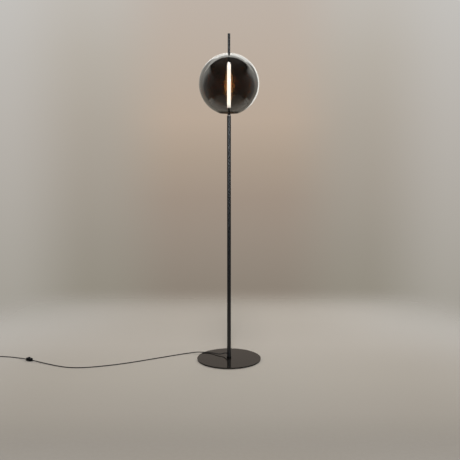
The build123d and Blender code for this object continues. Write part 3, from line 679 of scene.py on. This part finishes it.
camera_data = bpy.data.cameras.new("camera")
camera_data.sensor_width = SENSOR_WIDTH
camera_data.lens = SENSOR_WIDTH * FOCAL_LENGTH / PICTURE_WIDTH
camera = new_piece("camera", camera_data)
camera.location = (0.0, -3.2395, 1.0374)
camera.rotation_euler = (math.radians(90 - CAMERA_TILT), 0.0, -math.atan(1 / FOCAL_LENGTH))
scene.camera = camera


# --- Floor ---------------------------------------------------------------------
FLOOR_SIDE = 2.15


def floor_material():
    """Pale matt floor with painted light: darker towards the camera, brightest behind the lamp and lighter
    to the sides behind it. It fades out at its rounded edge.
    """
    material, graph, inputs = surface("floor", Roughness=0.75, Specular_IOR_Level=0.15)
    place = graph.place()
    x, y = graph.parts(place)[:2]
    eighth = [graph.math("POWER", graph.math("ABSOLUTE", side), 8.0) for side in (x, y)]
    out = graph.math("POWER", graph.math("ADD", *eighth), 0.125)
    # Painted light and shade: the colour stops run from darker at the front to brightest behind the lamp.
    along = graph.ramp(y, -1.4, 2.0, smooth=False)
    colour = graph.stops(along, [
        (0.00, (0.279, 0.252, 0.214)), (0.12, (0.363, 0.326, 0.283)), (0.20, (0.456, 0.411, 0.358)),
        (0.32, (0.532, 0.483, 0.421)), (0.49, (0.613, 0.556, 0.491)), (1.00, (0.616, 0.562, 0.495))])
    # Painted light: lighter to the sides behind the lamp.
    painted_side_light = graph.math("MULTIPLY", graph.ramp(graph.math("ABSOLUTE", x), 0.3, 1.5), graph.ramp(y, -0.2, 0.8))
    colour = graph.mix(painted_side_light, colour, graph.mix(0.40, colour, (0.86, 0.86, 0.84)))
    grain = graph.noise(place, 60.0, 4.0)
    graph.put(inputs["Base Color"],
              graph.mix(graph.ramp(grain, 0.2, 0.8, 0.0, 0.06), colour, (0.60, 0.56, 0.50)))
    graph.put(inputs["Alpha"], graph.ramp(out, 0.36 * FLOOR_SIDE, 0.88 * FLOOR_SIDE, 1.0, 0.0))
    return material


floor_mesh = bpy.data.meshes.new("floor")
grid = bmesh.new()
bmesh.ops.create_grid(grid, x_segments=8, y_segments=8, size=FLOOR_SIDE)
grid.to_mesh(floor_mesh)
grid.free()
floor_mesh.materials.append(floor_material())
floor = new_piece("floor", floor_mesh)


# --- World and lamps ---------------------------------------------------------------
def studio_world():
    """Backdrop all round for the camera. Gloss and light see it behind the lamp, between dim side walls,
    under a dark ceiling, with a dark front."""
    world = bpy.data.worlds.new("studio")
    world.use_nodes = True
    tree = world.node_tree
    tree.nodes.clear()
    graph = Graph(tree)
    x, y, z = graph.parts(graph.add("ShaderNodeTexCoord").outputs["Generated"])[:3]
    rise = graph.ramp(z, -0.25, 0.25, smooth=False)
    near = graph.stops(rise, [
        (0.00, (0.270, 0.230, 0.187)), (0.11, (0.270, 0.230, 0.187)), (0.18, (0.292, 0.246, 0.201)),
        (0.28, (0.323, 0.267, 0.218)), (0.38, (0.352, 0.284, 0.229)), (0.50, (0.412, 0.332, 0.262)),
        (0.62, (0.485, 0.390, 0.310)), (0.78, (0.496, 0.415, 0.345)), (1.00, (0.515, 0.450, 0.395))])
    far = graph.stops(rise, [
        (0.00, (0.375, 0.352, 0.310)), (0.11, (0.375, 0.352, 0.310)), (0.38, (0.432, 0.405, 0.366)),
        (0.62, (0.480, 0.452, 0.416)), (0.80, (0.515, 0.492, 0.460)), (1.00, (0.560, 0.545, 0.520))])
    round_angle = graph.math("ARCTAN2", graph.math("ABSOLUTE", x), graph.math("ABSOLUTE", y))
    middle = graph.stops(rise, [
        (0.00, (0.292, 0.266, 0.220)), (0.12, (0.296, 0.270, 0.223)), (0.25, (0.323, 0.292, 0.246)),
        (0.43, (0.371, 0.332, 0.283)), (0.62, (0.418, 0.376, 0.323)), (0.80, (0.468, 0.429, 0.376)),
        (1.00, (0.530, 0.500, 0.460))])
    backdrop = graph.mix(graph.ramp(round_angle, 0.07, 0.20), near, middle)
    backdrop = graph.mix(graph.ramp(round_angle, 0.21, 0.34), backdrop, far)
    foot = graph.mix(graph.ramp(round_angle, 0.05, 0.33), (0.449, 0.405, 0.352), (0.490, 0.460, 0.422))
    seen = graph.mix(graph.ramp(z, -0.262, -0.208, 1.0, 0.0), backdrop, foot)

    side = graph.math("MAXIMUM", graph.math("ABSOLUTE", x), 0.001)
    depth = graph.math("DIVIDE", y, side)
    height = graph.math("DIVIDE", z, side)
    lean = graph.math("ADD", depth, height)
    wall = graph.stops(graph.ramp(lean, -0.8, 0.8, smooth=False), [
        (0.00, (0.03, 0.03, 0.029)), (0.19, (0.08, 0.08, 0.077)), (0.31, (0.13, 0.13, 0.125)),
        (0.56, (0.17, 0.17, 0.17)), (0.69, (0.20, 0.20, 0.20)), (0.78, (0.33, 0.33, 0.32)),
        (0.88, (0.55, 0.55, 0.53)), (1.00, (0.70, 0.69, 0.66))])
    ceiling = graph.mix(graph.ramp(z, 0.70, 0.95), (0.010, 0.009, 0.008), (0.090, 0.086, 0.080))
    overhang = graph.math("SUBTRACT", height, graph.math("MULTIPLY", depth, 0.52))
    room = graph.mix(graph.ramp(overhang, 0.54, 0.86), wall, ceiling)
    floor_glint = graph.math("MULTIPLY", graph.ramp(height, -0.78, -0.68, 1.0, 0.0),
                             graph.ramp(depth, 0.0, 0.2))
    room = graph.mix(floor_glint, room, (0.58, 0.55, 0.50))
    cove = graph.math("MULTIPLY", graph.ramp(y, 0.52, 0.58, 1.0, 0.0), graph.ramp(z, 0.28, 0.48))
    behind = graph.mix(cove, backdrop, (1.25, 1.22, 1.15))
    behind = graph.mix(graph.ramp(z, 0.54, 0.72), behind, (1.35, 1.33, 1.28))
    reach = graph.math("ADD", y, graph.ramp(z, 0.40, 0.55, 0.0, 0.12))
    room = graph.mix(graph.ramp(reach, 0.44, 0.54), room, behind)

    light_path = graph.add("ShaderNodeLightPath")
    background = graph.add("ShaderNodeBackground")
    graph.put(background.inputs["Color"], graph.mix(light_path.outputs["Is Camera Ray"], room, seen))
    out = graph.add("ShaderNodeOutputWorld")
    graph.put(out.inputs["Surface"], background.outputs[0])
    scene.world = world


def softbox(name, place, target, width, length, radiance, colour):
    """Rectangular lamp of this radiance, aimed at a point."""
    data = bpy.data.lights.new(name, "AREA")
    data.shape = "RECTANGLE"
    data.size, data.size_y = width, length
    data.energy = math.pi * width * length * radiance
    data.color = colour
    lamp = new_piece(name, data)
    lamp.location = place
    lamp.rotation_euler = (Vector(target) - Vector(place)).to_track_quat("-Z", "Y").to_euler()
    lamp.visible_camera = False


studio_world()
softbox("front_strip", (0, -4.6, 1.80), (0, 0, 1.3), 1.0, 1.6, 25.0, (0.90, 0.95, 1.0))
softbox("overhead_strip", (0, -2.05, 5.2), (0, -2.05, 0), 0.45, 2.7, 12.0, (1.0, 0.98, 0.95))
softbox("screen_above", (0.27, 2.05, 2.95), (0.27, 0, 1.40), 2.5, 1.75, 1.22, (1.0, 1.0, 0.99))
softbox("screen_right", (0.96, 1.96, 1.46), (0, 0, 1.46), 0.92, 1.45, 1.35, (1.0, 1.0, 0.99))
